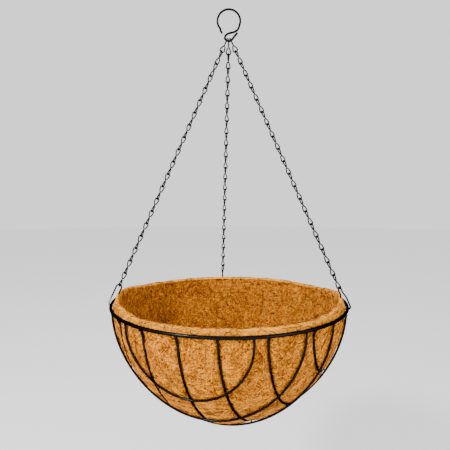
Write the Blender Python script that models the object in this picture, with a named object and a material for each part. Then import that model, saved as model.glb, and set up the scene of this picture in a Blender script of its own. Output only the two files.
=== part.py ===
"""Wire hanging basket with a coir liner, three jack chains and a hanger hook.

Metres, +Z up. The origin is the hanging point: the inside top of the hook's ring.
"""

import math

import bmesh
import bpy
from mathutils import Matrix, Vector

# Basket
RIM_RADIUS = 0.1755          # centre of the rim wire
RIM_WIRE = 0.0044            # wire diameters
RIB_WIRE = 0.0029
HANG_DROP = 0.435            # hanging point down to the rim plane
BOWL_DEPTH = 0.180           # rim plane down to the centre of the lowest rib
BOWL_FULLNESS = 1.80         # 2 is a true half ellipse, less is more pointed
FAMILY_GAP = 0.0037          # the crossing ribs lie this far apart, centre to centre
RIM_GAP = 0.0003             # a rib's end stops this far under the rim
TUCK_HEIGHT = 0.012          # below the rim, the inner ribs move in over this height

# Each rib is one wire that hangs in a plane between two directions on the rim.
# The two families run nearly square to each other.
OUTER_RIBS = ((223, 279), (206, 301), (181, 318), (161, 335), (142, 355), (122, 374), (98, 398))
INNER_RIBS = ((306, 370), (285, 389), (266, 408), (250, 424), (233, 440), (215, 460), (198, 477))
OUTER_LEAN = 0.65            # how steeply an outer rib leans in, for each metre off the centre

# Liner
LINER_OUTER = 0.1694         # radius at the rim plane
LINER_DEPTH = 0.1742
LINER_WALL = 0.0090
LINER_LEAN = 0.45            # how far the collar leans in for each metre that it rises
LINER_COLLAR = 0.0043        # mean height of the collar above the rim plane
LINER_FRONT_RISE = 0.0008
LINER_PEAK_RISE = 0.0095     # the collar stands higher next to the left and right clips
LINER_PEAKS = (182.0, 350.0)
LINER_PEAK_SHARPNESS = 10
LINER_TOP_ROUND = 0.0025     # the lip's edges are rounded off over this height
LIP_OUTER_ROUND = 0.0027     # and in from the collar's outer and inner faces by these
LIP_INNER_ROUND = 0.0022
LINER_ROWS = 9
LINER_AROUND = 40

# Chains and clips
LINK_PITCH = 0.020
LINKS = 20
LINKS_IN_RUN = 2             # links of one named run, joined where they hang in each other
LINK_WIRE = 0.0017
LINK_WIDTH = 0.0078
LINK_GAP = 0.0003
LINK_JOIN = -0.0003          # a negative gap joins the two links of a run
LINK_TIP = (0.0015, 0.0017)  # a loop's free tip: from the link's middle line, and from mid length
LINK_NECK = (0.0007, 0.0014) # where the wire passes from one loop to the other
CLIP_WIRE = 0.0020
CLIP_LOOP = 0.0041           # centre radius of the bend under the rim
CLIP_TOP_LOOP = 0.0042
CLIP_LEG_HEIGHTS = (0.009, 0.013, 0.017, 0.021)   # above the rim wire, along the chain
CLIP_TIP_HEIGHT = 0.0030     # the free tip's height above the bend's centre
SEGMENT_RUNS = 3             # runs that swing together as one segment of a chain
ATTACH = {"left": 189.0, "right": 345.5, "rear": 94.0}
EYE_ANGLE = {"left": -33.0, "right": 33.0, "rear": 0.0}
FIRST_TURN = {"left": 0.0, "right": 0.0, "rear": 90.0}   # of a link about the chain
LAST_TURN = {"left": 90.0, "right": 0.0, "rear": 90.0}
TURN_STEP = 22.5

# Hook
HOOK_WIRE = 0.0030
RING_RADIUS = 0.0170         # centre of the wire
EYE_RADIUS = 0.0062
EYE_BOTTOM = -0.0448         # centre of the wire at the bottom of the eye
SWING_AXIS_RISE = 0.0004     # mean height of the three links' seats above the eye's bottom

SIDES = {4: 0, 6: 1, 8: 2}   # curve bevel resolution for that many sides
RIM_STEPS = 60
RIB_STEPS = 400              # fine steps that a rib's path is first worked out in
RIB_STEP_LENGTH = 0.017      # length of one straight piece of a rib
LEAN_ROUNDS = 30             # repeats that settle where a leaning plane meets the bowl


def clear_scene():
    for obj in list(bpy.data.objects):
        bpy.data.objects.remove(obj, do_unlink=True)


def material(name, colour, roughness, metallic):
    made = bpy.data.materials.new(name)
    made.use_nodes = True
    shader = made.node_tree.nodes["Principled BSDF"]
    shader.inputs["Base Color"].default_value = (*colour, 1.0)
    shader.inputs["Roughness"].default_value = roughness
    shader.inputs["Metallic"].default_value = metallic
    return made


def pivot(name, place):
    """An empty on a joint's axis, for the pieces that turn about it."""
    empty = bpy.data.objects.new(name, None)
    empty.location = place
    empty.empty_display_size = 0.01
    bpy.context.scene.collection.objects.link(empty)
    return empty


def add_object(name, data, parent, finish):
    obj = bpy.data.objects.new(name, data)
    bpy.context.scene.collection.objects.link(obj)
    obj.parent = parent
    data.materials.append(finish)
    return obj


def polar(radius, degrees, height):
    angle = math.radians(degrees)
    return Vector((radius * math.cos(angle), radius * math.sin(angle), height))


def smooth_path(points, per_span):
    """Points on a Catmull-Rom curve through the given ones."""
    path = []
    for i in range(len(points) - 1):
        a, b = points[i], points[i + 1]
        before = points[i - 1] if i else a * 2 - b
        after = points[i + 2] if i + 2 < len(points) else b * 2 - a
        for step in range(per_span):
            t = step / per_span
            path.append(
                0.5 * (2 * a + (b - before) * t
                       + (2 * before - 5 * a + 4 * b - after) * t * t
                       + (3 * a - before - 3 * b + after) * t ** 3)
            )
    return path + [points[-1]]


def wire_curve(name, points, diameter, sides, origin, closed=False):
    """A round wire along the points, as a curve with filled ends."""
    curve = bpy.data.curves.new(name, "CURVE")
    curve.dimensions = "3D"
    curve.bevel_depth = diameter / 2
    curve.bevel_resolution = SIDES[sides]
    curve.use_fill_caps = not closed
    spline = curve.splines.new("POLY")
    spline.points.add(len(points) - 1)
    for place, point in zip(spline.points, points):
        place.co = (*(point - origin), 1.0)
    spline.use_cyclic_u = closed
    spline.use_smooth = True
    return curve


def wire(name, points, diameter, sides, parent, finish, closed=False):
    curve = wire_curve(name, points, diameter, sides, parent.location, closed)
    return add_object(name, curve, parent, finish)


def wire_mesh(name, points, diameter, sides, origin):
    """The same wire as a closed mesh, which a Boolean can join."""
    curve = wire_curve(name, points, diameter, sides, origin)
    guide = bpy.data.objects.new(name, curve)
    bpy.context.scene.collection.objects.link(guide)
    bpy.context.view_layer.update()
    graph = bpy.context.evaluated_depsgraph_get()
    mesh = bpy.data.meshes.new_from_object(guide.evaluated_get(graph))
    bpy.data.objects.remove(guide, do_unlink=True)
    shape = bmesh.new()
    shape.from_mesh(mesh)
    bmesh.ops.remove_doubles(shape, verts=shape.verts, dist=1e-6)
    bmesh.ops.recalc_face_normals(shape, faces=shape.faces)
    shape.to_mesh(mesh)
    shape.free()
    mesh.materials.clear()
    return mesh


# Basket frame

def bowl_radius(depth_below, radius, depth):
    """Radius of the bowl at a depth below the rim plane."""
    share = min(max(depth_below / depth, 0.0), 1.0)
    return radius * (1 - share ** BOWL_FULLNESS) ** (1 / BOWL_FULLNESS)


def bowl_depth_at(distance, radius, depth):
    """Depth of the bowl at a distance from its upright axis."""
    share = min(distance / radius, 1.0)
    return depth * (1 - share ** BOWL_FULLNESS) ** (1 / BOWL_FULLNESS)


def leaned_point(plan, lean):
    """Where a plane that leans in meets the bowl: the plan point and the depth there."""
    depth = bowl_depth_at(plan.length, RIM_RADIUS, BOWL_DEPTH)
    for _ in range(LEAN_ROUNDS):
        depth = (depth + bowl_depth_at((plan - lean * depth).length, RIM_RADIUS, BOWL_DEPTH)) / 2
    return plan - lean * depth, depth


def rib_points(start_degrees, end_degrees, inset, lean_rate):
    """One rib: a plane through a straight chord of the rim cuts the bowl along it."""
    start = polar(RIM_RADIUS, start_degrees, 0)
    end = polar(RIM_RADIUS, end_degrees, 0)
    lean = (start + end) / 2 * lean_rate
    dense = []
    for i in range(RIB_STEPS + 1):
        # Closer points at both ends, where the rib drops steeply from the rim.
        along = (1 - math.cos(math.pi * i / RIB_STEPS)) / 2
        plan, depth = leaned_point(start.lerp(end, along), lean)
        tuck = inset * min(depth / TUCK_HEIGHT, 1.0)
        scale = 1 - tuck / RIM_RADIUS
        under_rim = RIM_WIRE / 2 + RIM_GAP
        low = max(depth * scale, under_rim)
        if dense and low == under_rim and dense[-1].z == -HANG_DROP - under_rim:
            if along < 0.5:
                dense.pop()
            else:
                continue
        dense.append(Vector((plan.x * scale, plan.y * scale, -HANG_DROP - low)))
    length = sum((b - a).length for a, b in zip(dense, dense[1:]))
    return even_points(dense, length, round(length / RIB_STEP_LENGTH))


def even_points(dense, length, count):
    """The given number of equal pieces along a finely stepped path."""
    points = [dense[0]]
    run = 0.0
    for a, b in zip(dense, dense[1:]):
        run += (b - a).length
        if run >= length * len(points) / count and len(points) < count:
            points.append(b)
    return points + [dense[-1]]


def make_rim(basket, finish):
    points = [polar(RIM_RADIUS, 360 * i / RIM_STEPS, -HANG_DROP) for i in range(RIM_STEPS)]
    wire("rim_ring", points, RIM_WIRE, 6, basket, finish, closed=True)


def make_ribs(basket, finish):
    families = (("outer", OUTER_RIBS, 0.0, OUTER_LEAN), ("inner", INNER_RIBS, FAMILY_GAP, 0.0))
    for family, ribs, inset, lean_rate in families:
        for number, (start_degrees, end_degrees) in enumerate(ribs, 1):
            points = rib_points(start_degrees, end_degrees, inset, lean_rate)
            wire(f"{family}_rib_{number}", points, RIB_WIRE, 6, basket, finish)


# Liner

def collar_height(degrees):
    peaks = sum(
        max(0.0, math.cos(math.radians(degrees - peak))) ** LINER_PEAK_SHARPNESS
        for peak in LINER_PEAKS
    )
    front = -math.sin(math.radians(degrees))
    return LINER_COLLAR + LINER_PEAK_RISE * peaks + LINER_FRONT_RISE * front


def liner_profile(degrees):
    """(radius, height above the rim plane) from the outer pole over the lip to the inner pole."""
    outer, inner = [], []
    wall_depth = LINER_DEPTH - LINER_WALL
    for i in range(LINER_ROWS):
        angle = math.pi / 2 * (1 - i / LINER_ROWS)
        down = math.sin(angle)
        outer.append((bowl_radius(down * LINER_DEPTH, LINER_OUTER, LINER_DEPTH), -down * LINER_DEPTH))
        inner.append((bowl_radius(down * wall_depth, LINER_OUTER - LINER_WALL, wall_depth),
                      -down * wall_depth))
    top = collar_height(degrees)
    edge = top - LINER_TOP_ROUND
    top_outer = LINER_OUTER - LINER_LEAN * top
    top_inner = top_outer - LINER_WALL
    outer += [(LINER_OUTER, 0.0), (LINER_OUTER - LINER_LEAN * edge, edge)]
    lip = [(top_outer - LIP_OUTER_ROUND, top), (top_inner + LIP_INNER_ROUND, top)]
    inner += [(LINER_OUTER - LINER_WALL, 0.0), (LINER_OUTER - LINER_WALL - LINER_LEAN * edge, edge)]
    return outer + lip + inner[::-1]


def make_liner(basket, finish):
    shape = bmesh.new()
    rings = []
    for i in range(LINER_AROUND):
        degrees = 360 * i / LINER_AROUND
        profile = liner_profile(degrees)[1:-1]
        rings.append([shape.verts.new(polar(r, degrees, h - HANG_DROP)) for r, h in profile])
    bottom = shape.verts.new((0, 0, -HANG_DROP - LINER_DEPTH))
    inside = shape.verts.new((0, 0, -HANG_DROP - LINER_DEPTH + LINER_WALL))
    for ring, following in zip(rings, rings[1:] + rings[:1]):
        shape.faces.new((bottom, following[0], ring[0]))
        shape.faces.new((inside, ring[-1], following[-1]))
        for j in range(len(ring) - 1):
            shape.faces.new((ring[j], following[j], following[j + 1], ring[j + 1]))
    bmesh.ops.recalc_face_normals(shape, faces=shape.faces)
    bmesh.ops.translate(shape, verts=shape.verts, vec=-basket.location)
    mesh = bpy.data.meshes.new("coir_liner")
    shape.to_mesh(mesh)
    shape.free()
    mesh.shade_smooth()
    add_object("coir_liner", mesh, basket, finish)


# Hanger hook

def hook_point(x_mm, z_mm):
    return Vector((x_mm / 1000, 0, z_mm / 1000))


def hook_points():
    """The open ring, the shank that turns back under it, and the closed eye."""
    ring_centre = Vector((0, 0, -RING_RADIUS + HOOK_WIRE / 2))
    ring = []
    for i in range(18):
        angle = math.radians(222 - 244 * i / 17)
        ring.append(ring_centre + RING_RADIUS * Vector((math.cos(angle), 0, math.sin(angle))))
    lead_in = smooth_path([hook_point(-10.4, -32.6), hook_point(-12.2, -29.6), ring[0]], 2)[:-1]
    eye_centre = Vector((0, 0, EYE_BOTTOM + EYE_RADIUS))
    eye = []
    for i in range(11):
        angle = math.radians(190 + 140 * i / 10)
        eye.append(eye_centre + EYE_RADIUS * Vector((math.cos(angle), 0, math.sin(angle))))
    shank = smooth_path(
        [ring[-1], hook_point(13.6, -27.6), hook_point(8.2, -31.4), hook_point(1.0, -33.2),
         hook_point(-4.0, -35.6), eye[0]], 3)[1:-1]
    close = smooth_path([eye[-1], hook_point(8.6, -37.6), hook_point(12.2, -33.4)], 2)[1:]
    return lead_in + ring + shank + eye + close


def eye_seat(degrees):
    """Centre of the eye's wire at an angle from its lowest point."""
    angle = math.radians(degrees)
    centre = Vector((0, 0, EYE_BOTTOM + EYE_RADIUS))
    return centre + EYE_RADIUS * Vector((math.sin(angle), 0, -math.cos(angle)))


# Chains

def chain_line(side):
    """Where a chain starts, its direction, and its length to the centre of the rim wire."""
    seat = eye_seat(EYE_ANGLE[side])
    rim = polar(RIM_RADIUS, ATTACH[side], -HANG_DROP)
    down = (rim - seat).normalized()
    start = seat - down * (HOOK_WIRE / 2 + LINK_GAP / 2)
    return start, down, (rim - start).length


def chain_axes(side, turn):
    """Two directions square to the chain and each other, turned about it."""
    _, down, _ = chain_line(side)
    across = Vector((-math.sin(math.radians(ATTACH[side])), math.cos(math.radians(ATTACH[side])), 0))
    first = Matrix.Rotation(math.radians(turn), 3, down) @ across
    return first, down.cross(first)


def link_turn(side, number):
    """Turn of a link about the chain: a chain that ends turned gets there a step at a time."""
    return min(FIRST_TURN[side] + TURN_STEP * number, LAST_TURN[side])


def link_points(side, number):
    """One jack-chain link: an upper loop and, square to it, a lower loop, from one wire."""
    start, down, _ = chain_line(side)
    first, second = chain_axes(side, link_turn(side, number))
    top = start + down * (LINK_PITCH * number)
    above = LINK_GAP if number % LINKS_IN_RUN == 0 else LINK_JOIN
    below = LINK_JOIN if number % LINKS_IN_RUN == 0 else LINK_GAP
    half = (LINK_WIDTH - LINK_WIRE) / 2
    upper_centre = half - (LINK_WIRE + above) / 2
    lower_centre = LINK_PITCH - half + (LINK_WIRE + below) / 2
    arc = [math.radians(45 * i) for i in range(5)]
    upper = [(-half * math.cos(a), upper_centre - half * math.sin(a)) for a in arc]
    lower = [(half * math.cos(a), lower_centre + half * math.sin(a)) for a in arc]
    middle = LINK_PITCH / 2
    upper = [(-LINK_TIP[0], middle - LINK_TIP[1])] + upper + [(LINK_NECK[0], middle - LINK_NECK[1])]
    lower = [(LINK_NECK[0], middle + LINK_NECK[1])] + lower + [(-LINK_TIP[0], middle + LINK_TIP[1])]
    return (
        [top + first * across + down * along for across, along in upper]
        + [top + second * across + down * along for across, along in lower]
    )


def make_run(side, run, parent, finish):
    """Two links that hang in each other, joined into one solid."""
    name = f"{side}_chain_run_{run + 1:02d}"
    numbers = [run * LINKS_IN_RUN + i for i in range(LINKS_IN_RUN)]
    meshes = [
        wire_mesh(f"{name}_link_{n + 1}", link_points(side, n), LINK_WIRE, 4, parent.location)
        for n in numbers
    ]
    whole = add_object(name, meshes[0], parent, finish)
    for n, mesh in zip(numbers[1:], meshes[1:]):
        joined = add_object(f"{name}_joined_link", mesh, parent, finish)
        joined.hide_render = True
        joined.display_type = "WIRE"
        join = whole.modifiers.new(f"join_link_{n + 1}", "BOOLEAN")
        join.operation = "UNION"
        join.object = joined


def clip_points(side):
    """A wire clip: a bend under the rim, two legs, and a bend through the last link."""
    start, down, length = chain_line(side)
    rim = start + down * length
    last_turn = link_turn(side, LINKS - 1)
    top_height = length - LINKS * LINK_PITCH + (CLIP_WIRE + LINK_GAP) / 2 - CLIP_TOP_LOOP
    seat = CLIP_LOOP - CLIP_WIRE / 2 - RIM_WIRE / 2 - LINK_GAP
    bottom_arc = [math.radians(20 - 200 * i / 8) for i in range(9)]
    top_arc = [math.radians(180 - 180 * i / 6) for i in range(7)]
    legs = CLIP_LEG_HEIGHTS
    flat = [(CLIP_LOOP * math.cos(a), seat + CLIP_LOOP * math.sin(a)) for a in bottom_arc]
    flat += [(-CLIP_LOOP, h) for h in legs]
    flat += [(CLIP_TOP_LOOP * math.cos(a), top_height + CLIP_TOP_LOOP * math.sin(a)) for a in top_arc]
    flat += [(CLIP_LOOP, h) for h in legs[::-1]]
    flat += [(CLIP_LOOP, seat + CLIP_TIP_HEIGHT)]
    points = []
    for across, up in flat:
        share = min(max((up - legs[0]) / (legs[-1] - legs[0]), 0.0), 1.0)
        outward, _ = chain_axes(side, 90 * (1 - share) + last_turn * share - 180)
        points.append(rim - down * up + outward * across)
    return points


def make_chains(swing, steel, clip_steel):
    for side in ATTACH:
        start, down, _ = chain_line(side)
        runs = LINKS // LINKS_IN_RUN
        parent = swing
        for run in range(runs):
            if run % SEGMENT_RUNS == 1:
                place = start + down * (run * LINKS_IN_RUN * LINK_PITCH)
                parent = pivot(f"{side}_segment_{run // SEGMENT_RUNS + 1}_axis", place)
            make_run(side, run, parent, steel)
        clip_axis = pivot(f"{side}_clip_axis", start + down * (LINKS * LINK_PITCH))
        wire(f"{side}_rim_clip", clip_points(side), CLIP_WIRE, 6, clip_axis, clip_steel)


def main():
    clear_scene()
    black_wire = material("black_coated_wire", (0.012, 0.011, 0.011), 0.32, 0.0)
    chain_steel = material("blackened_chain_steel", (0.030, 0.024, 0.026), 0.38, 0.9)
    clip_steel = material("grey_clip_steel", (0.10, 0.10, 0.09), 0.35, 0.9)
    coir = material("coir_fibre", (0.60, 0.27, 0.05), 0.95, 0.0)
    hanging = pivot("hanging_point", (0, 0, 0))
    swing = pivot("swing_axis", (0, 0, EYE_BOTTOM + SWING_AXIS_RISE))
    basket = pivot("basket_centre", (0, 0, -HANG_DROP))
    wire("hanger_hook", hook_points(), HOOK_WIRE, 8, hanging, black_wire)
    make_chains(swing, chain_steel, clip_steel)
    make_rim(basket, black_wire)
    make_ribs(basket, black_wire)
    make_liner(basket, coir)


main()
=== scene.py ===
import math

import bmesh
import bpy
import numpy as np
from bpy.props import FloatProperty, FloatVectorProperty, IntProperty, PointerProperty
from mathutils import Matrix, Vector, noise
from mathutils.bvhtree import BVHTree
from mathutils.kdtree import KDTree


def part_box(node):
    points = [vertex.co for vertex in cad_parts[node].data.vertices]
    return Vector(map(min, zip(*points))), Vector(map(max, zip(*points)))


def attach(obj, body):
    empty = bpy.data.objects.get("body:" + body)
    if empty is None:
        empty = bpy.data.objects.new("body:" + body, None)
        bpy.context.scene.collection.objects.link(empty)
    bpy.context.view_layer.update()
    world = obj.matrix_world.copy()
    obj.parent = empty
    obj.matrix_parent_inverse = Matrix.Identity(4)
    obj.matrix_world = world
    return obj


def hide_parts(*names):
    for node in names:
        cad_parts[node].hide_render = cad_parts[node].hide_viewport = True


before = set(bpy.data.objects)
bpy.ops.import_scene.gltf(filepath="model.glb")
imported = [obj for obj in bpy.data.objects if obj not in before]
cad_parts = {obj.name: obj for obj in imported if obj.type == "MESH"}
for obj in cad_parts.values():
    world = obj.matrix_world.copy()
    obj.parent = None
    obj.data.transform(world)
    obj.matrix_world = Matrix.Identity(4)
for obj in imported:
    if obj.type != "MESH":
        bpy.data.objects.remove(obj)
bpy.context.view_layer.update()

bl_info = {
    "name": "Wire Hanging Basket",
    "version": (1, 0, 0),
    "blender": (4, 5, 0),
    "location": "View3D > Sidebar > Basket",
    "description": "Builds a wire hanging basket with a coir liner, jack chains and a hanger hook",
    "category": "Object",
}

SIDES = ("left", "right", "rear")
RIM_LOW, RIM_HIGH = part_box("rim_ring")
RIM_WIRE = 0.0044
RIM_HEIGHT = (RIM_LOW.z + RIM_HIGH.z) / 2
RIM_RADIUS = (RIM_HIGH.x - RIM_LOW.x - RIM_WIRE) / 2

# Each rib is one wire that hangs in a plane between two directions on the rim.
OUTER_RIBS = ((223, 279), (206, 301), (181, 318), (161, 335), (142, 355), (122, 374), (98, 398))
INNER_RIBS = ((306, 370), (285, 389), (266, 408), (250, 424), (233, 440), (215, 460), (198, 477))
OUTER_LEAN = 0.65
FAMILY_GAP = 0.0037
TUCK_HEIGHT = 0.012
RIB_DEPTH = 0.180
BOWL_FULLNESS = 1.80

LINKS = 20
SEGMENT_LINKS = 6
ATTACH = {"left": 189.0, "right": 345.5, "rear": 94.0}
EYE_ANGLE = {"left": -33.0, "right": 33.0, "rear": 0.0}
FIRST_TURN = {"left": 0.0, "right": 0.0, "rear": 90.0}
LAST_TURN = {"left": 65.0, "right": 25.0, "rear": 115.0}
TURN_STEP = 22.5
RING_RADIUS = 0.0170
EYE_RADIUS = 0.0062
EYE_BOTTOM = -0.0448
SEAT_GAP = 0.0003
TOUCH_GAP = 0.0001

COLLAR_PEAKS = (182.0, 350.0)
COLLAR_HEIGHT = 0.0050
COLLAR_PEAK_HEIGHT = 0.0090
COLLAR_TILT = 0.0020
COLLAR_WAVE = 0.0008
LIP_ROUND = 0.0026
PEAK_THINNING = 0.0058
LINER_AROUND = 540
INSIDE_SHOULDER = 0.7
CLIP_CLEAR_HEIGHT = 0.014
CLIP_CLEAR_DEGREES = 5
STRAND_PIECES = 5
STRAND_LIFT = 0.0007
STRAND_THIN = 0.00015
STRAND_THICK = 0.00034


class BasketWireSettings(bpy.types.PropertyGroup):
    """Sizes and finish of the hook, the rim, the ribs and their welds."""

    hook_wire: FloatProperty(
        name="Hook Wire", description="Diameter of the hook's wire", default=0.0031, unit="LENGTH")
    rim_wire: FloatProperty(
        name="Rim Wire", description="Diameter of the rim's wire", default=RIM_WIRE, unit="LENGTH")
    rib_wire: FloatProperty(
        name="Rib Wire", description="Diameter of a rib's wire", default=0.0029, unit="LENGTH")
    weld_bead: FloatProperty(
        name="Weld Bead", description="Half width of a spot weld", default=0.0019, unit="LENGTH")
    coat: FloatVectorProperty(
        name="Coat", description="Colour of the black coating", subtype="COLOR",
        default=(0.013, 0.0115, 0.0115), min=0.0, max=1.0)


class BasketChainSettings(bpy.types.PropertyGroup):
    """Sizes and finish of the chains and the rim clips."""

    pitch: FloatProperty(
        name="Link Pitch", description="Inside length of a link", default=0.020, unit="LENGTH")
    wire: FloatProperty(
        name="Link Wire", description="Diameter of a link's wire", default=0.0019, unit="LENGTH")
    width: FloatProperty(
        name="Link Width", description="Outside width of a loop", default=0.0078, unit="LENGTH")
    first_spread: FloatProperty(
        name="First Spread", description="How much wider the first link is, to ride on the hook",
        default=0.0009, unit="LENGTH")
    clip_wire: FloatProperty(
        name="Clip Wire", description="Diameter of a clip's wire", default=0.0023, unit="LENGTH")
    clip_loop: FloatProperty(
        name="Clip Loop", description="Bend radius of a clip under the rim", default=0.0041,
        unit="LENGTH")
    clip_top_loop: FloatProperty(
        name="Clip Top Loop", description="Bend radius of a clip in the last link",
        default=0.0042, unit="LENGTH")
    link_colour: FloatVectorProperty(
        name="Link Colour", description="Colour of the blackened steel", subtype="COLOR",
        default=(0.018, 0.011, 0.014), min=0.0, max=1.0)
    clip_colour: FloatVectorProperty(
        name="Clip Colour", description="Colour of the clips' dark finish", subtype="COLOR",
        default=(0.016, 0.014, 0.014), min=0.0, max=1.0)
    # Painted highlight: a light steel colour on the left clip's outer leg, standing in for a highlight,
    # and where it begins.
    painted_highlight_colour: FloatVectorProperty(
        name="Highlight Steel", description="Colour where the finish of the left clip is worn off",
        subtype="COLOR", default=(0.42, 0.44, 0.38), min=0.0, max=1.0)
    painted_highlight_from: FloatProperty(
        name="Highlight From", description="The left clip is worn beyond this distance to the left",
        default=0.1735, unit="LENGTH")


class BasketLinerSettings(bpy.types.PropertyGroup):
    """Sizes and finish of the coir liner and its loose fibre."""

    radius: FloatProperty(
        name="Radius", description="Outer radius under the ribs", default=0.1697, unit="LENGTH")
    depth: FloatProperty(
        name="Depth", description="Depth of the bowl below the rim", default=0.1741, unit="LENGTH")
    wall: FloatProperty(
        name="Wall", description="Thickness of the fibre mat", default=0.0092, unit="LENGTH")
    lean: FloatProperty(
        name="Lean", description="How far the collar leans in as it rises", default=0.40)
    bulge: FloatProperty(
        name="Bulge", description="How far the mat swells between the ribs", default=0.0034,
        unit="LENGTH")
    rim_bulge: FloatProperty(
        name="Rim Bulge", description="How far the mat swells at the rim", default=0.0029,
        unit="LENGTH")
    strands: IntProperty(
        name="Strands", description="Number of loose strands", default=15000, min=0)
    strand_length: FloatProperty(
        name="Strand Length", description="Mean length of a strand", default=0.014, unit="LENGTH")
    colour: FloatVectorProperty(
        name="Colour", description="Main colour of the coir", subtype="COLOR",
        default=(0.60, 0.185, 0.003), min=0.0, max=1.0)
    pale: FloatVectorProperty(
        name="Pale", description="Colour of the paler fibre and the cut lip", subtype="COLOR",
        default=(0.92, 0.37, 0.025), min=0.0, max=1.0)
    # Painted shade: the inner face is coloured darker by this tone, standing in for the shade inside the
    # bowl.
    inside_shade_tone: FloatVectorProperty(
        name="Inside Tone", description="How much darker the shadowed inner face is",
        subtype="COLOR", default=(0.78, 0.76, 1.00), min=0.0, max=1.0)
    dark: FloatVectorProperty(
        name="Dark", description="Colour of the darker fibre", subtype="COLOR",
        default=(0.12, 0.024, 0.0006), min=0.0, max=1.0)


class BasketStageSettings(bpy.types.PropertyGroup):
    """The floor, the lights and the camera."""

    floor_drop: FloatProperty(
        name="Floor Drop", description="Floor height below the bowl", default=0.40, unit="LENGTH")
    room_light: FloatProperty(
        name="Room Light", description="Brightness of the room at eye level", default=1.30)
    overhead_light: FloatProperty(
        name="Overhead Light", description="Brightness of the room overhead", default=1.15)
    camera_back: FloatProperty(
        name="Camera Back", description="Distance in front of the chains", default=0.5965,
        unit="LENGTH")
    camera_rise: FloatProperty(
        name="Camera Rise", description="Height above the rim", default=0.1472, unit="LENGTH")
    camera_tilt: FloatProperty(
        name="Camera Tilt", description="Downward tilt", default=math.radians(3.08),
        subtype="ANGLE")
    camera_turn: FloatProperty(
        name="Camera Turn", description="Turn to the left", default=math.radians(0.55),
        subtype="ANGLE")
    lens: FloatProperty(
        name="Lens", description="Focal length on a 36 mm sensor", default=31.19)


# Shared mesh and material helpers

def polar(radius, degrees, height):
    angle = math.radians(degrees)
    return Vector((radius * math.cos(angle), radius * math.sin(angle), height))


def smooth_path(points, per_span):
    """Points on a Catmull-Rom curve through the given ones."""
    count = len(points)
    path = []
    for i in range(count - 1):
        a, b = points[i], points[i + 1]
        before = points[i - 1] if i else a * 2 - b
        after = points[i + 2] if i + 2 < count else b * 2 - a
        for step in range(per_span):
            t = step / per_span
            path.append(
                0.5 * (2 * a + (b - before) * t
                       + (2 * before - 5 * a + 4 * b - after) * t * t
                       + (3 * a - before - 3 * b + after) * t ** 3)
            )
    return path + [points[-1]]


def even_points(dense, spacing):
    """Points at an even spacing along a finely stepped path."""
    stops = np.array([list(p) for p in dense])
    run = np.concatenate([[0.0], np.cumsum(np.linalg.norm(np.diff(stops, axis=0), axis=1))])
    count = max(4, round(run[-1] / spacing))
    at = np.linspace(0, run[-1], count + 1)
    return [Vector(p) for p in np.stack([np.interp(at, run, stops[:, k]) for k in range(3)], 1)]


def frames_along(points, closed):
    """A direction across the path at each point, carried along it without twist."""
    count = len(points)
    tangents = []
    for i in range(count):
        if closed:
            step = points[(i + 1) % count] - points[i - 1]
        else:
            step = points[min(i + 1, count - 1)] - points[max(i - 1, 0)]
        tangents.append(step.normalized())
    across = tangents[0].orthogonal().normalized()
    frames = []
    for tangent in tangents:
        across = (across - tangent * across.dot(tangent)).normalized()
        frames.append((across, tangent.cross(across)))
    return frames


def tube_shape(shape, points, radius, sides, closed=False, rounded=True):
    """Adds a round tube along the points to a bmesh; its ends are rounded caps."""
    frames = frames_along(points, closed)
    rings = []
    stations = [(p, f, 1.0) for p, f in zip(points, frames)]
    if not closed and rounded:
        first = (points[0] - points[1]).normalized() * radius
        last = (points[-1] - points[-2]).normalized() * radius
        stations = (
            [(points[0] + first * 0.9, frames[0], 0.42), (points[0] + first * 0.55, frames[0], 0.83)]
            + stations
            + [(points[-1] + last * 0.55, frames[-1], 0.83), (points[-1] + last * 0.9, frames[-1], 0.42)]
        )
    for place, (first_axis, second_axis), share in stations:
        ring = []
        for k in range(sides):
            angle = 2 * math.pi * k / sides
            out = first_axis * math.cos(angle) + second_axis * math.sin(angle)
            ring.append(shape.verts.new(place + out * radius * share))
        rings.append(ring)
    pairs = list(zip(rings, rings[1:]))
    if closed:
        pairs.append((rings[-1], rings[0]))
    for i, (ring, following) in enumerate(pairs):
        shift = 0
        if closed and i == len(pairs) - 1:
            shift = min(range(sides), key=lambda s: (following[s].co - ring[0].co).length)
        for k in range(sides):
            shape.faces.new((
                ring[k], ring[(k + 1) % sides],
                following[(k + 1 + shift) % sides], following[(k + shift) % sides],
            ))
    if not closed:
        shape.faces.new(rings[0][::-1])
        shape.faces.new(rings[-1])


def finish_piece(name, shape, body, material, replaced=()):
    """Turns a bmesh into a named, smooth piece that rides on a body of the frame."""
    mesh = bpy.data.meshes.new(name)
    shape.to_mesh(mesh)
    shape.free()
    mesh.shade_smooth()
    mesh.materials.append(material)
    piece = bpy.data.objects.new(name, mesh)
    bpy.context.scene.collection.objects.link(piece)
    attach(piece, body)
    if replaced:
        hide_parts(*replaced)
    return piece


def new_material(name):
    made = bpy.data.materials.new(name)
    made.use_nodes = True
    return made, made.node_tree, made.node_tree.nodes["Principled BSDF"]


def add_node(tree, kind, **settings):
    node = tree.nodes.new(kind)
    for key, value in settings.items():
        if key in node.inputs:
            node.inputs[key].default_value = value
        else:
            setattr(node, key, value)
    return node


def object_noise(tree, scale, detail, roughness=0.6, distortion=0.0, stretch=None):
    """Noise in the piece's own coordinates, so that it stays on the piece as it moves."""
    place = add_node(tree, "ShaderNodeTexCoord")
    pattern = add_node(
        tree, "ShaderNodeTexNoise", Scale=scale, Detail=detail, Roughness=roughness,
        Distortion=distortion)
    source = place.outputs["Object"]
    if stretch:
        mapping = add_node(tree, "ShaderNodeMapping", Scale=stretch)
        tree.links.new(source, mapping.inputs["Vector"])
        source = mapping.outputs["Vector"]
    tree.links.new(source, pattern.inputs["Vector"])
    return pattern.outputs["Fac"]


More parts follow.
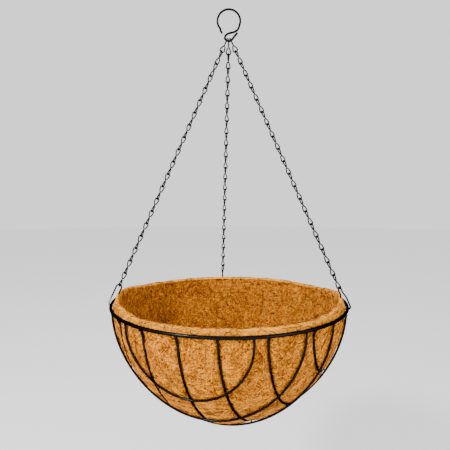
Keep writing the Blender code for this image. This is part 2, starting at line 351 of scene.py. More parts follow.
def colour_ramp(tree, source, stops):
    ramp = add_node(tree, "ShaderNodeValToRGB")
    elements = ramp.color_ramp.elements
    while len(elements) < len(stops):
        elements.new(0.5)
    for element, (position, colour) in zip(elements, stops):
        element.position = position
        element.color = (*colour, 1.0)
    tree.links.new(source, ramp.inputs["Fac"])
    return ramp.outputs["Color"]


def spread(tree, source, low, high, from_low=0.3, from_high=0.7):
    """Maps a noise value to a range."""
    scale = add_node(tree, "ShaderNodeMapRange")
    scale.inputs["From Min"].default_value = from_low
    scale.inputs["From Max"].default_value = from_high
    scale.inputs["To Min"].default_value = low
    scale.inputs["To Max"].default_value = high
    tree.links.new(source, scale.inputs["Value"])
    return scale.outputs["Result"]


def bump(tree, shader, height, distance, strength):
    node = add_node(tree, "ShaderNodeBump", Distance=distance, Strength=strength)
    tree.links.new(height, node.inputs["Height"])
    previous = shader.inputs["Normal"]
    if previous.is_linked:
        tree.links.new(previous.links[0].from_socket, node.inputs["Normal"])
    tree.links.new(node.outputs["Normal"], previous)


def shade(colour, factor):
    return tuple(min(1.0, c * factor) for c in colour)


def dark_metal(name, stops, wear_noise, edge_tint):
    """A dark metal finish in new nodes, whose edges stay dark too."""
    made, tree, shader = new_material(name)
    tree.links.new(colour_ramp(tree, object_noise(tree, *wear_noise), stops), shader.inputs["Base Color"])
    shader.inputs["Metallic"].default_value = 1.0
    shader.inputs["Specular Tint"].default_value = (*edge_tint, 1.0)
    return made, tree, shader


def coated_wire_material(name, colour):
    """Thick glossy black finish with a faint orange peel and dusty patches."""
    made, tree, shader = dark_metal(
        name, [(0.35, shade(colour, 0.6)), (0.60, colour), (0.80, shade(colour, 2.0))],
        (42.0, 5.0), shade(colour, 2.0))
    tree.links.new(spread(tree, object_noise(tree, 160.0, 3.0), 0.16, 0.28),
                   shader.inputs["Roughness"])
    bump(tree, shader, object_noise(tree, 900.0, 2.0), 0.00012, 0.35)
    bump(tree, shader, object_noise(tree, 130.0, 2.0), 0.0003, 0.30)
    return made


def steel_material(name, colour, roughness, scale):
    """Worn dark steel: brighter where it rubs, dull and brownish elsewhere."""
    made, tree, shader = dark_metal(
        name, [(0.30, shade(colour, 0.45)), (0.52, colour), (0.70, shade(colour, 1.9)),
               (0.82, (colour[0] * 2.0, colour[1] * 1.5, colour[2] * 1.4))],
        (scale, 6.0, 0.65), shade(colour, 2.0))
    tree.links.new(spread(tree, object_noise(tree, scale * 2.5, 4.0), roughness - 0.10,
                          roughness + 0.14), shader.inputs["Roughness"])
    bump(tree, shader, object_noise(tree, 1400.0, 3.0), 0.00008, 0.5)
    return made


def paint_highlight(made, highlight_tone, from_x):
    """Paints a light steel colour on the part of a piece that lies to the left of from_x: a painted
    highlight.
    """
    tree = made.node_tree
    shader = tree.nodes["Principled BSDF"]
    finish = shader.inputs["Base Color"].links[0].from_socket
    place = add_node(tree, "ShaderNodeTexCoord")
    split = add_node(tree, "ShaderNodeSeparateXYZ")
    tree.links.new(place.outputs["Object"], split.inputs["Vector"])
    share = spread(tree, split.outputs["X"], 1.0, 0.0, from_x - 0.0006, from_x + 0.0006)
    mix = add_node(tree, "ShaderNodeMix", data_type="RGBA")
    tree.links.new(share, mix.inputs["Factor"])
    tree.links.new(finish, mix.inputs["A"])
    mix.inputs["B"].default_value = (*highlight_tone, 1.0)
    tree.links.new(mix.outputs["Result"], shader.inputs["Base Color"])


def coir_material(name, settings):
    """Matted coconut fibre: tangled strands of several browns, with lighter and darker clumps."""
    made, tree, shader = new_material(name)
    link = tree.links.new
    clumps = object_noise(tree, 34.0, 4.0, 0.55, 0.6)
    tangle = object_noise(tree, 230.0, 5.0, 0.66, 2.6)
    along = object_noise(tree, 300.0, 4.0, 0.7, 1.4, stretch=(1.0, 1.0, 0.22))
    around = object_noise(tree, 300.0, 4.0, 0.7, 1.4, stretch=(0.22, 0.30, 1.0))
    weave = add_node(tree, "ShaderNodeMix", data_type="FLOAT")
    link(clumps, weave.inputs["Factor"])
    link(along, weave.inputs["A"])
    link(around, weave.inputs["B"])
    both = add_node(tree, "ShaderNodeMath", operation="ADD")
    link(weave.outputs["Result"], both.inputs[0])
    link(tangle, both.inputs[1])
    half = add_node(tree, "ShaderNodeMath", operation="MULTIPLY")
    link(both.outputs["Value"], half.inputs[0])
    half.inputs[1].default_value = 0.5
    strands = colour_ramp(tree, half.outputs["Value"], [
        (0.43, settings.dark), (0.475, shade(settings.colour, 0.60)), (0.515, settings.colour),
        (0.555, settings.pale)])
    patches = colour_ramp(tree, clumps, [
        (0.34, (0.62, 0.50, 0.40)), (0.50, (0.92, 0.90, 0.88)), (0.66, (1.0, 1.0, 1.0))])
    tint = add_node(tree, "ShaderNodeMix", data_type="RGBA", blend_type="MULTIPLY")
    tint.inputs["Factor"].default_value = 0.75
    link(strands, tint.inputs["A"])
    link(patches, tint.inputs["B"])
    cut = add_node(tree, "ShaderNodeAttribute", attribute_name="lip")
    lip = add_node(tree, "ShaderNodeMix", data_type="RGBA")
    lip_colour = colour_ramp(tree, half.outputs["Value"], [
        (0.38, shade(settings.pale, 0.60)), (0.50, settings.pale), (0.62, shade(settings.pale, 1.25))])
    link(cut.outputs["Fac"], lip.inputs["Factor"])
    link(tint.outputs["Result"], lip.inputs["A"])
    link(lip_colour, lip.inputs["B"])
    # Painted shade: the inner face is multiplied by the inside tone, standing in for the shade inside the
    # bowl.
    hollow = add_node(tree, "ShaderNodeAttribute", attribute_name="inside")
    shaded_inside = add_node(tree, "ShaderNodeMix", data_type="RGBA", blend_type="MULTIPLY")
    link(hollow.outputs["Fac"], shaded_inside.inputs["Factor"])
    link(lip.outputs["Result"], shaded_inside.inputs["A"])
    shaded_inside.inputs["B"].default_value = (*settings.inside_shade_tone, 1.0)
    link(shaded_inside.outputs["Result"], shader.inputs["Base Color"])
    link(spread(tree, tangle, 0.80, 1.0), shader.inputs["Roughness"])
    shader.inputs["Specular IOR Level"].default_value = 0.08
    bump(tree, shader, half.outputs["Value"], 0.0016, 0.9)
    bump(tree, shader, clumps, 0.004, 0.4)
    return made


def strand_material(name, colour):
    made, tree, shader = new_material(name)
    tone = object_noise(tree, 60.0, 3.0)
    colours = colour_ramp(tree, tone, [
        (0.32, shade(colour, 0.62)), (0.5, colour), (0.7, shade(colour, 1.25))])
    tree.links.new(colours, shader.inputs["Base Color"])
    tree.links.new(spread(tree, object_noise(tree, 500.0, 2.0), 0.55, 0.85),
                   shader.inputs["Roughness"])
    shader.inputs["Specular IOR Level"].default_value = 0.15
    bump(tree, shader, object_noise(tree, 2500.0, 2.0), 0.00005, 0.6)
    return made


# Hook

def hook_point(x_mm, z_mm):
    return Vector((x_mm / 1000, 0, z_mm / 1000))


def hook_path(wire):
    """The open ring, the shank that turns back under it, and the closed eye."""
    ring_centre = Vector((0, 0, -RING_RADIUS + wire / 2))
    ring = []
    for i in range(18):
        angle = math.radians(222 - 244 * i / 17)
        ring.append(ring_centre + RING_RADIUS * Vector((math.cos(angle), 0, math.sin(angle))))
    eye_centre = Vector((0, 0, EYE_BOTTOM + EYE_RADIUS))
    eye = []
    for i in range(11):
        angle = math.radians(190 + 140 * i / 10)
        eye.append(eye_centre + EYE_RADIUS * Vector((math.cos(angle), 0, math.sin(angle))))
    return (
        [hook_point(-10.4, -32.6), hook_point(-12.2, -29.6)] + ring
        + [hook_point(13.6, -27.6), hook_point(8.2, -31.4), hook_point(1.0, -33.2),
           hook_point(-4.0, -35.6)]
        + eye + [hook_point(8.6, -37.6), hook_point(12.2, -33.4)]
    )


class BASKET_OT_hook(bpy.types.Operator):
    """Bend the hanger hook: an open ring over a closed eye."""

    bl_idname = "basket.hook"
    bl_label = "Hanger Hook"

    def execute(self, context):
        settings = context.scene.basket_wire
        path = even_points(smooth_path(hook_path(settings.hook_wire), 8), 0.0011)
        shape = bmesh.new()
        tube_shape(shape, path, settings.hook_wire / 2, 16)
        material = coated_wire_material("hook_black_coat", settings.coat)
        finish_piece("bent_hook_wire", shape, "hook", material, ["hanger_hook"])
        return {"FINISHED"}


# Wire frame

def rib_path(start_degrees, end_degrees, inset, lean_rate, rim_wire):
    """One rib: a plane through a straight chord of the rim, leaning in, cuts the bowl along it."""
    start = polar(RIM_RADIUS, start_degrees, 0)
    end = polar(RIM_RADIUS, end_degrees, 0)
    middle = (start + end) / 2
    sideways = (end - start).normalized()

    def half_chord(depth):
        offset = middle * (1 - lean_rate * depth)
        radius = bowl_radius(depth / RIB_DEPTH, RIM_RADIUS)
        return offset, radius ** 2 - offset.length_squared

    low, high = 0.0, RIB_DEPTH
    for _ in range(50):
        deepest = (low + high) / 2
        if half_chord(deepest)[1] > 0:
            low = deepest
        else:
            high = deepest
    steps = 250
    dense = []
    for i in range(-steps, steps + 1):
        depth = low * math.cos(math.pi / 2 * i / steps)
        offset, square = half_chord(depth)
        plan = offset + sideways * math.copysign(math.sqrt(max(square, 0.0)), i)
        scale = 1 - inset * min(depth / TUCK_HEIGHT, 1.0) / RIM_RADIUS
        if depth * scale >= rim_wire * 0.35:
            dense.append(plan * scale + Vector((0, 0, RIM_HEIGHT - depth * scale)))
    return dense


def all_ribs(rim_wire):
    """(piece name, CAD node, path) of each rib."""
    ribs = []
    families = (("outer", OUTER_RIBS, 0.0, OUTER_LEAN), ("inner", INNER_RIBS, FAMILY_GAP, 0.0))
    for family, ends, inset, lean_rate in families:
        for number, (start, end) in enumerate(ends, 1):
            path = even_points(rib_path(start, end, inset, lean_rate, rim_wire), 0.0035)
            ribs.append((f"{family}_rib_wire_{number}", f"{family}_rib_{number}", path))
    return ribs


class BASKET_OT_rim(bpy.types.Operator):
    """Roll the rim ring from heavy wire."""

    bl_idname = "basket.rim"
    bl_label = "Rim Ring"

    def execute(self, context):
        settings = context.scene.basket_wire
        points = [polar(RIM_RADIUS, 360 * i / 240, RIM_HEIGHT) for i in range(240)]
        shape = bmesh.new()
        tube_shape(shape, points, settings.rim_wire / 2, 16, closed=True)
        material = coated_wire_material("rim_black_coat", settings.coat)
        finish_piece("rim_wire", shape, "basket", material, ["rim_ring"])
        return {"FINISHED"}


class BASKET_OT_ribs(bpy.types.Operator):
    """Hang the two crossing families of ribs from the rim."""

    bl_idname = "basket.ribs"
    bl_label = "Ribs"

    def execute(self, context):
        settings = context.scene.basket_wire
        material = coated_wire_material("rib_black_coat", settings.coat)
        for name, node, path in all_ribs(settings.rim_wire):
            shape = bmesh.new()
            tube_shape(shape, path, settings.rib_wire / 2, 12)
            finish_piece(name, shape, "basket", material, [node])
        return {"FINISHED"}


def add_bead(shape, place, along, length, width):
    """One flattened blob of weld under the coating."""
    turn = along.to_track_quat("Z", "Y").to_matrix().to_4x4()
    size = Matrix.Diagonal((width, width, length, 1.0))
    bmesh.ops.create_icosphere(
        shape, subdivisions=2, radius=1.0, matrix=Matrix.Translation(place) @ turn @ size)


class BASKET_OT_welds(bpy.types.Operator):
    """Spot weld the ribs to the rim and to each other."""

    bl_idname = "basket.welds"
    bl_label = "Spot Welds"

    def execute(self, context):
        settings = context.scene.basket_wire
        ribs = all_ribs(settings.rim_wire)
        rim_beads = bmesh.new()
        for _, _, path in ribs:
            for end, following in ((path[0], path[2]), (path[-1], path[-3])):
                outward = Vector((end.x, end.y, 0)).normalized() * 0.0004
                place = end + outward - Vector((0, 0, 0.0008))
                add_bead(rim_beads, place, following - end, settings.weld_bead,
                         settings.weld_bead * 0.92)
        material = coated_wire_material("weld_black_coat", settings.coat)
        finish_piece("rim_spot_welds", rim_beads, "basket", material)
        crossings = bmesh.new()
        inner = [path for name, _, path in ribs if name.startswith("inner")]
        for name, _, path in ribs:
            if not name.startswith("outer"):
                continue
            tree = KDTree(len(path))
            for i, point in enumerate(path):
                tree.insert(point, i)
            tree.balance()
            for other in inner:
                near = min(((tree.find(p), p) for p in other), key=lambda found: found[0][2])
                (outer_point, _, gap), inner_point = near
                if gap < FAMILY_GAP * 1.35:
                    middle = (outer_point + inner_point) / 2
                    add_bead(crossings, middle, outer_point - inner_point,
                             settings.weld_bead * 1.05, settings.weld_bead * 0.62)
        finish_piece("crossing_spot_welds", crossings, "basket", material)
        return {"FINISHED"}


# Chains and clips

def eye_seat(degrees):
    angle = math.radians(degrees)
    centre = Vector((0, 0, EYE_BOTTOM + EYE_RADIUS))
    return centre + EYE_RADIUS * Vector((math.sin(angle), 0, -math.cos(angle)))


def chain_line(side, hook_wire):
    """Where a chain starts, its direction, and its length to the centre of the rim wire."""
    seat = eye_seat(EYE_ANGLE[side])
    rim = polar(RIM_RADIUS, ATTACH[side], RIM_HEIGHT)
    down = (rim - seat).normalized()
    start = seat - down * (hook_wire / 2 + SEAT_GAP)
    return start, down, (rim - start).length


def chain_axes(side, down, turn):
    """Two directions square to the chain and each other, turned about it."""
    angle = math.radians(ATTACH[side])
    across = Vector((-math.sin(angle), math.cos(angle), 0))
    first = Matrix.Rotation(math.radians(turn), 3, down) @ across
    return first, down.cross(first)


def link_turn(side, number):
    return min(FIRST_TURN[side] + TURN_STEP * number, LAST_TURN[side])


def link_path(start, down, axes, pitch, wire, width):
    """One jack-chain link: an upper loop and, square to it, a lower loop, from one wire."""
    first, second = axes
    half = (width - wire) / 2
    upper_centre = half - wire / 2 - TOUCH_GAP
    lower_centre = pitch - half + wire / 2 + TOUCH_GAP
    arc = [math.radians(22.5 * i) for i in range(9)]
    upper = [(-half * math.cos(a), upper_centre - half * math.sin(a)) for a in arc]
    lower = [(half * math.cos(a), lower_centre + half * math.sin(a)) for a in arc]
    upper = [(-0.00135, 0.0086), (-0.0023, 0.0062)] + upper + [(0.0022, 0.0060), (0.0006, 0.0088)]
    lower = [(0.0006, 0.0112), (0.0022, 0.0140)] + lower + [(-0.0023, 0.0138), (-0.00135, 0.0114)]
    points = [start + first * a + down * d for a, d in upper]
    points += [start + second * a + down * d for a, d in lower]
    return smooth_path(points, 3)


def link_body(side, number):
    """The first run of a chain swings with the eye; each later segment is a body."""
    if number < 2:
        return "chain_tops"
    segment = ("upper", "middle", "lower")[(number - 2) // SEGMENT_LINKS]
    return f"{side}_{segment}_segment"


class BASKET_OT_chains(bpy.types.Operator):
    """Link up the three jack chains, one piece for each link."""

    bl_idname = "basket.chains"
    bl_label = "Chains"

    def execute(self, context):
        settings = context.scene.basket_chain
        hook_wire = context.scene.basket_wire.hook_wire
        material = steel_material("chain_blackened_steel", settings.link_colour, 0.40, 210.0)
        for side in SIDES:
            start, down, _ = chain_line(side, hook_wire)
            for number in range(LINKS):
                axes = chain_axes(side, down, link_turn(side, number))
                top = start + down * (settings.pitch * number)
                width = settings.width + (settings.first_spread if number == 0 else 0.0)
                path = link_path(top, down, axes, settings.pitch, settings.wire, width)
                shape = bmesh.new()
                tube_shape(shape, path, settings.wire / 2, 10)
                finish_piece(
                    f"{side}_link_{number + 1:02d}", shape, link_body(side, number), material,
                    [f"{side}_chain_run_{number // 2 + 1:02d}"])
        return {"FINISHED"}


def clip_path(side, chain, hook_wire, rim_wire):
    """A bend under the rim, two legs that cross if the clip is twisted, and a bend at the top."""
    start, down, length = chain_line(side, hook_wire)
    rim = start + down * length
    last_turn = link_turn(side, LINKS - 1)
    loop, top_loop = chain.clip_loop, chain.clip_top_loop
    top_height = length - LINKS * chain.pitch + chain.clip_wire / 2 + TOUCH_GAP - top_loop
    seat = loop - chain.clip_wire / 2 - rim_wire / 2 - SEAT_GAP
    bottom_arc = [math.radians(20 - 200 * i / 12) for i in range(13)]
    top_arc = [math.radians(180 - 180 * i / 10) for i in range(11)]
    legs = [0.009, 0.013, 0.017, 0.021]
    flat = [(loop * math.cos(a), seat + loop * math.sin(a)) for a in bottom_arc]
    flat += [(-loop, h) for h in legs]
    flat += [(top_loop * math.cos(a), top_height + top_loop * math.sin(a)) for a in top_arc]
    flat += [(loop, h) for h in legs[::-1]]
    flat += [(loop, 0.0026 + seat)]
    points = []
    for across, up in flat:
        share = min(max((up - legs[0]) / (legs[-1] - legs[0]), 0.0), 1.0)
        outward, _ = chain_axes(side, down, 90 * (1 - share) + last_turn * share - 180)
        points.append(rim - down * up + outward * across)
    return smooth_path(points, 4)


class BASKET_OT_clips(bpy.types.Operator):
    """Bend the three rim clips."""

    bl_idname = "basket.clips"
    bl_label = "Rim Clips"

    def execute(self, context):
        chain = context.scene.basket_chain
        wire = context.scene.basket_wire
        dark = steel_material("clip_dark_steel", chain.clip_colour, 0.34, 150.0)
        # Painted highlight: the left clip's material gets a light steel colour on its outer leg, in place
        # of a highlight.
        highlit = steel_material("clip_painted_highlight_steel", chain.clip_colour, 0.34, 150.0)
        paint_highlight(highlit, chain.painted_highlight_colour, -chain.painted_highlight_from)
        for side in SIDES:
            path = clip_path(side, chain, wire.hook_wire, wire.rim_wire)
            shape = bmesh.new()
            tube_shape(shape, path, chain.clip_wire / 2, 12)
            finish_piece(f"{side}_clip_wire", shape, f"{side}_clip",
                         highlit if side == "left" else dark, [f"{side}_rim_clip"])
        return {"FINISHED"}


# Liner

def collar_peaks(degrees):
    """1 where the collar stands highest, next to the left and right clips, and 0 elsewhere."""
    return sum(
        max(0.0, math.cos(math.radians(degrees - peak))) ** 10 for peak in COLLAR_PEAKS)


def collar_height(degrees):
    """Height of the collar above the rim."""
    angle = math.radians(degrees)
    wave = noise.noise(Vector((math.cos(angle) * 2.6, math.sin(angle) * 2.6, 7.0)))
    return (COLLAR_HEIGHT + COLLAR_PEAK_HEIGHT * collar_peaks(degrees)
            - COLLAR_TILT * math.sin(angle) + COLLAR_WAVE * wave)


def bowl_radius(share, radius):
    return radius * (1 - min(share, 1.0) ** BOWL_FULLNESS) ** (1 / BOWL_FULLNESS)


def liner_profile(degrees, liner):
    """(radius, height, lip share, face) from the outer pole over the lip to the inner pole.

    The face is 1 outside, 0 on the lip, and falls to -1 down the inside.
    """
    outer_rows, inner_rows, collar_rows, lip_rows = 120, 56, 7, 10
    top = collar_height(degrees)
    edge = top - LIP_ROUND
    inner_radius = liner.radius + liner.rim_bulge - liner.wall
    inner_depth = liner.depth - liner.wall
    top_outer = liner.radius - liner.lean * edge
    top_wall = liner.wall - liner.rim_bulge - PEAK_THINNING * collar_peaks(degrees)
    profile = []
    for i in range(1, outer_rows):
        down = math.cos(math.pi / 2 * i / outer_rows)
        profile.append((bowl_radius(down, liner.radius), -down * liner.depth, 0.0, 1.0))
    for i in range(collar_rows + 1):
        up = i / collar_rows
        profile.append((liner.radius - liner.lean * edge * up, edge * up, 0.25 + 0.45 * up, 1.0))
    # The outer face carries the rim bulge, so the lip's arc starts from there.
    outer_edge = top_outer + liner.rim_bulge
    half = (top_wall + liner.rim_bulge) / 2
    for i in range(1, lip_rows):
        angle = math.pi * i / lip_rows
        profile.append((
            outer_edge - half + half * math.cos(angle), edge + LIP_ROUND * math.sin(angle),
            0.75, 0.0))
    inner_edge = outer_edge - half * 2
    for i in range(collar_rows, -1, -1):
        up = i / collar_rows
        radius = inner_radius + (inner_edge - inner_radius) * up
        profile.append((radius, edge * up, 0.45 * up ** 2, -INSIDE_SHOULDER * (1 - up)))
    for i in range(inner_rows - 1, 0, -1):
        down = math.cos(math.pi / 2 * i / inner_rows)
        profile.append((bowl_radius(down, inner_radius), -down * inner_depth, 0.0,
                        -min(1.0, INSIDE_SHOULDER + 3 * down)))
    return profile


def smooth_least(values, softness):
    return -softness * math.log(sum(math.exp(-v / softness) for v in values))


def swell(point, height, inner_tree, outer_tree, liner):
    """How far the mat stands out: held back under the wires and the rim, free between them."""
    limits = []
    rib_gaps = ((inner_tree, RIM_RADIUS - FAMILY_GAP, 0.0004), (outer_tree, RIM_RADIUS, 0.0041))
    for tree, family_radius, under in rib_gaps:
        straight = family_radius - liner.radius
        aside = math.sqrt(max(tree.find(point)[2] ** 2 - straight ** 2, 0.0))
        limits.append(under + 0.9 * max(0.0, aside - 0.0017))
    below_rim = min(max((-height - 0.004) / 0.010, 0.0), 1.0)
    limits.append(liner.rim_bulge + (liner.bulge - liner.rim_bulge) * below_rim)
    return max(smooth_least(limits, 0.0004), 0.0)


def rib_tree(ribs, family):
    points = []
    for name, _, path in ribs:
        if name.startswith(family):
            points += smooth_path(path, 4)
    tree = KDTree(len(points))
    for i, point in enumerate(points):
        tree.insert(point, i)
    tree.balance()
    return tree


def liner_shape(liner, rim_wire):
    """The thick fibre bowl as a bmesh, with a lip and an inside value on each point."""
    ribs = all_ribs(rim_wire)
    inner_tree, outer_tree = rib_tree(ribs, "inner"), rib_tree(ribs, "outer")
    shape = bmesh.new()
    lip_layer = shape.verts.layers.float.new("lip")
    inside_layer = shape.verts.layers.float.new("inside")
    rings = []
    for i in range(LINER_AROUND):
        degrees = 360 * i / LINER_AROUND
        profile = liner_profile(degrees, liner)
        places = [polar(r, degrees, RIM_HEIGHT + h) for r, h, _, _ in profile]
        ring = []
        for j, (place, (_, height, lip, face)) in enumerate(zip(places, profile)):
            before, after = places[max(j - 1, 0)], places[min(j + 1, len(places) - 1)]
            around_axis = polar(1.0, degrees + 90, 0)
            normal = around_axis.cross(after - before).normalized()
            lumps = noise.fractal(place * 55, 1.0, 2.0, 3)
            tufts = noise.fractal(place * 210 + Vector((5, 1, 3)), 0.9, 2.0, 3)
            push = 0.0007 * lumps + 0.00055 * tufts
            # The inside value masks where the painted shade of the inner face goes.
            inside = max(-face, 0.0)
            if face > 0:
                held = swell(place, height, inner_tree, outer_tree, liner)
                push = held + min(push, 0.0) * 0.6
                if height > 0:
                    push = liner.rim_bulge + (0.0003 * lumps - 0.0003)
            if lip > 0.5:
                push += 0.0006 * noise.noise(place * 120)
            vert = shape.verts.new(place + normal * push)
            vert[lip_layer] = lip
            vert[inside_layer] = inside
            ring.append(vert)
        rings.append(ring)
    bottom = shape.verts.new((0, 0, RIM_HEIGHT - liner.depth))
    inside = shape.verts.new((0, 0, RIM_HEIGHT - liner.depth + liner.wall))
    for ring, following in zip(rings, rings[1:] + rings[:1]):
        shape.faces.new((bottom, following[0], ring[0]))
        shape.faces.new((inside, ring[-1], following[-1]))
        for j in range(len(ring) - 1):
            shape.faces.new((ring[j], following[j], following[j + 1], ring[j + 1]))
    bmesh.ops.recalc_face_normals(shape, faces=shape.faces)
    return shape


class BASKET_OT_liner(bpy.types.Operator):
    """Press the thick coir bowl into the wire frame."""

    bl_idname = "basket.liner"
    bl_label = "Coir Liner"

    def execute(self, context):
        liner = context.scene.basket_liner
        shape = liner_shape(liner, context.scene.basket_wire.rim_wire)
        material = coir_material("matted_coir", liner)
        piece = finish_piece(
            "coir_bowl", shape, "basket", material, ["coir_liner"])
        return {"FINISHED"}


def near_clip(point):
    """Whether a point is where a rim clip's legs swing."""
    if point.z < RIM_HEIGHT - CLIP_CLEAR_HEIGHT:
        return False
    facing = math.degrees(math.atan2(point.y, point.x))
    return any(abs((facing - clip + 180) % 360 - 180) < CLIP_CLEAR_DEGREES for clip in ATTACH.values())


def strand_paths(surface, count, length, lift, seed):
    """Curling strands on the fibre bowl, as two lists: on its outside and on its inside."""
    random = np.random.default_rng(seed)
    mesh = surface.data
    points = np.zeros(len(mesh.vertices) * 3)
    mesh.vertices.foreach_get("co", points)
    points = points.reshape(-1, 3)
    tree = BVHTree.FromPolygons(
        [Vector(p) for p in points], [list(p.vertices) for p in mesh.polygons])
    # Even spread over the bowl: faces are chosen by their area.
    areas = np.zeros(len(mesh.polygons))
    mesh.polygons.foreach_get("area", areas)
    chosen = random.choice(len(areas), size=count, p=areas / areas.sum())
    outside, inside = [], []
    for face in chosen:
        centre = mesh.polygons[int(face)].center
        place, normal, _, _ = tree.find_nearest(centre)
        paths = outside if normal.dot(place - Vector((0, 0, RIM_HEIGHT))) > 0 else inside
        heading = random.uniform(0, 2 * math.pi)
        side = normal.orthogonal().normalized()
        step = Matrix.Rotation(heading, 3, normal) @ side
        whole = length * random.uniform(0.45, 1.7)
        curl = random.normal(0, 0.12)
        height = lift * random.uniform(0.1, 1.0)
        path = []
        for k in range(STRAND_PIECES + 1):
            arch = height * (0.35 + math.sin(math.pi * k / STRAND_PIECES))
            path.append(place + normal * arch)
            curl += random.normal(0, 0.08)
            step = Matrix.Rotation(curl, 3, normal) @ step
            step = (step - normal * step.dot(normal)).normalized()
            found = tree.find_nearest(place + step * (whole / STRAND_PIECES))
            place, normal = found[0], found[1]
        if not any(near_clip(point) for point in path):
            paths.append(path)
    return outside, inside


def strand_mesh_shape(paths, random, thin, thick):
    shape = bmesh.new()
    for path in paths:
        tube_shape(shape, path, random.uniform(thin, thick), 3, rounded=False)
    return shape


class BASKET_OT_strands(bpy.types.Operator):
    """Lay loose coconut fibre over the liner, in three tones."""

    bl_idname = "basket.strands"
    bl_label = "Loose Fibre"

    def execute(self, context):
        liner = context.scene.basket_liner
        surface = bpy.data.objects["coir_bowl"]
        random = np.random.default_rng(41)
        tones = (
            ("pale_strands", shade(liner.pale, 1.1), 0.36, 3),
            ("brown_strands", shade(liner.colour, 0.75), 0.28, 5),
            ("dark_strands", liner.dark, 0.36, 7),
        )
        for name, colour, share, seed in tones:
            faces = strand_paths(
                surface, int(liner.strands * share), liner.strand_length, STRAND_LIFT, seed)
            # Painted shade: the strands on the inner face get darker copies of each tone, standing in for
            # the shade inside the bowl.
            shaded_inner_colour = [c * t for c, t in zip(colour, liner.inside_shade_tone)]
            for face, paths, tone in zip(("outer", "inner"), faces, (colour, shaded_inner_colour)):
                shape = strand_mesh_shape(paths, random, STRAND_THIN, STRAND_THICK)
                material = strand_material(f"coir_{face}_{name}", tone)
                finish_piece(f"{face}_{name}", shape, "basket", material)
        return {"FINISHED"}


# Stage

def plain_material(name, colour):
    made, _, shader = new_material(name)
    shader.inputs["Base Color"].default_value = (*colour, 1.0)
    shader.inputs["Roughness"].default_value = 0.9
    return made


def area_light(name, place, target, size, power):
    light = bpy.data.lights.new(name, "AREA")
    light.shape = "DISK"
    light.size = size
    light.energy = power
    lamp = bpy.data.objects.new(name, light)
    bpy.context.scene.collection.objects.link(lamp)
    lamp.location = place
    lamp.rotation_euler = (target - place).to_track_quat("-Z", "Y").to_euler()


def soft_room(around, overhead):
    """A plain white room whose light falls off from eye level to overhead."""
    world = bpy.data.worlds.new("soft_room")
    world.use_nodes = True
    tree = world.node_tree
    place = add_node(tree, "ShaderNodeTexCoord")
    split = add_node(tree, "ShaderNodeSeparateXYZ")
    tree.links.new(place.outputs["Generated"], split.inputs["Vector"])
    strength = spread(tree, split.outputs["Z"], around, overhead, 0.50, 0.90)
    background = tree.nodes["Background"]
    background.inputs["Color"].default_value = (1.0, 1.0, 1.0, 1.0)
    tree.links.new(strength, background.inputs["Strength"])
    return world


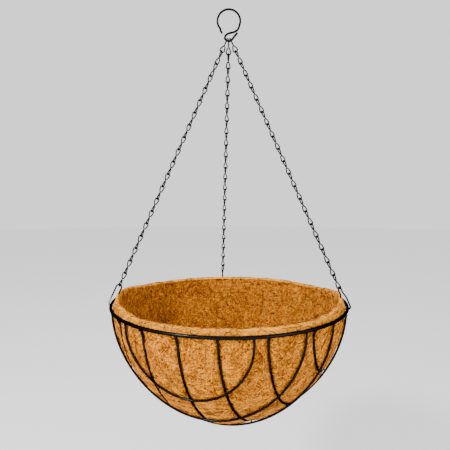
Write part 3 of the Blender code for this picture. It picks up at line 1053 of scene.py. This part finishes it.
class BASKET_OT_stage(bpy.types.Operator):
    """Set up the pale floor, the soft lights and the camera."""

    bl_idname = "basket.stage"
    bl_label = "Stage"

    def execute(self, context):
        stage = context.scene.basket_stage
        bowl_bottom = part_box("outer_rib_4")[0].z
        floor_height = bowl_bottom - stage.floor_drop
        shape = bmesh.new()
        bmesh.ops.create_circle(shape, cap_ends=True, segments=96, radius=12.0)
        mesh = bpy.data.meshes.new("floor")
        shape.to_mesh(mesh)
        shape.free()
        mesh.materials.append(plain_material("pale_floor", (0.985, 0.985, 0.985)))
        floor = bpy.data.objects.new("floor", mesh)
        context.scene.collection.objects.link(floor)
        floor.location = (0, 0, floor_height)
        middle = Vector((0, 0, RIM_HEIGHT))
        area_light("key_light", Vector((-1.3, -1.4, 0.9)), middle, 0.35, 62.0)
        area_light("fill_light", Vector((1.4, -1.5, 0.0)), middle, 0.9, 14.0)
        area_light("top_light", Vector((-0.9, 0.2, 1.5)), middle, 0.6, 9.0)
        context.scene.world = soft_room(stage.room_light, stage.overhead_light)
        camera = bpy.data.cameras.new("camera")
        camera.lens = stage.lens
        camera.sensor_width = 36.0
        camera.clip_start = 0.01
        holder = bpy.data.objects.new("camera", camera)
        context.scene.collection.objects.link(holder)
        holder.location = (0, -stage.camera_back, RIM_HEIGHT + stage.camera_rise)
        view = Vector((
            -math.sin(stage.camera_turn) * math.cos(stage.camera_tilt),
            math.cos(stage.camera_turn) * math.cos(stage.camera_tilt),
            -math.sin(stage.camera_tilt)))
        holder.rotation_euler = view.to_track_quat("-Z", "Y").to_euler()
        bpy.context.scene.camera = holder
        return {"FINISHED"}


OPERATORS = (
    BASKET_OT_stage, BASKET_OT_hook, BASKET_OT_rim, BASKET_OT_ribs, BASKET_OT_welds,
    BASKET_OT_chains, BASKET_OT_clips, BASKET_OT_liner, BASKET_OT_strands,
)


class BASKET_PT_panel(bpy.types.Panel):
    """Lists the basket's settings and the operators that make it."""

    bl_idname = "BASKET_PT_panel"
    bl_label = "Hanging Basket"
    bl_space_type = "VIEW_3D"
    bl_region_type = "UI"
    bl_category = "Basket"

    def draw(self, context):
        layout = self.layout
        for operator in OPERATORS:
            layout.operator(operator.bl_idname)
        for group in (context.scene.basket_wire, context.scene.basket_chain,
                      context.scene.basket_liner, context.scene.basket_stage):
            box = layout.box()
            for name in group.__annotations__:
                box.prop(group, name)


SETTINGS = {
    "basket_wire": BasketWireSettings,
    "basket_chain": BasketChainSettings,
    "basket_liner": BasketLinerSettings,
    "basket_stage": BasketStageSettings,
}


def register():
    for group in SETTINGS.values():
        bpy.utils.register_class(group)
    for name, group in SETTINGS.items():
        setattr(bpy.types.Scene, name, PointerProperty(type=group))
    for operator in OPERATORS:
        bpy.utils.register_class(operator)
    bpy.utils.register_class(BASKET_PT_panel)


def unregister():
    bpy.utils.unregister_class(BASKET_PT_panel)
    for operator in reversed(OPERATORS):
        bpy.utils.unregister_class(operator)
    for name in SETTINGS:
        delattr(bpy.types.Scene, name)
    for group in reversed(list(SETTINGS.values())):
        bpy.utils.unregister_class(group)


def main():
    register()
    bpy.ops.basket.stage()
    bpy.ops.basket.hook()
    bpy.ops.basket.rim()
    bpy.ops.basket.ribs()
    bpy.ops.basket.welds()
    bpy.ops.basket.chains()
    bpy.ops.basket.clips()
    bpy.ops.basket.liner()
    bpy.ops.basket.strands()


if __name__ == "__main__":
    main()
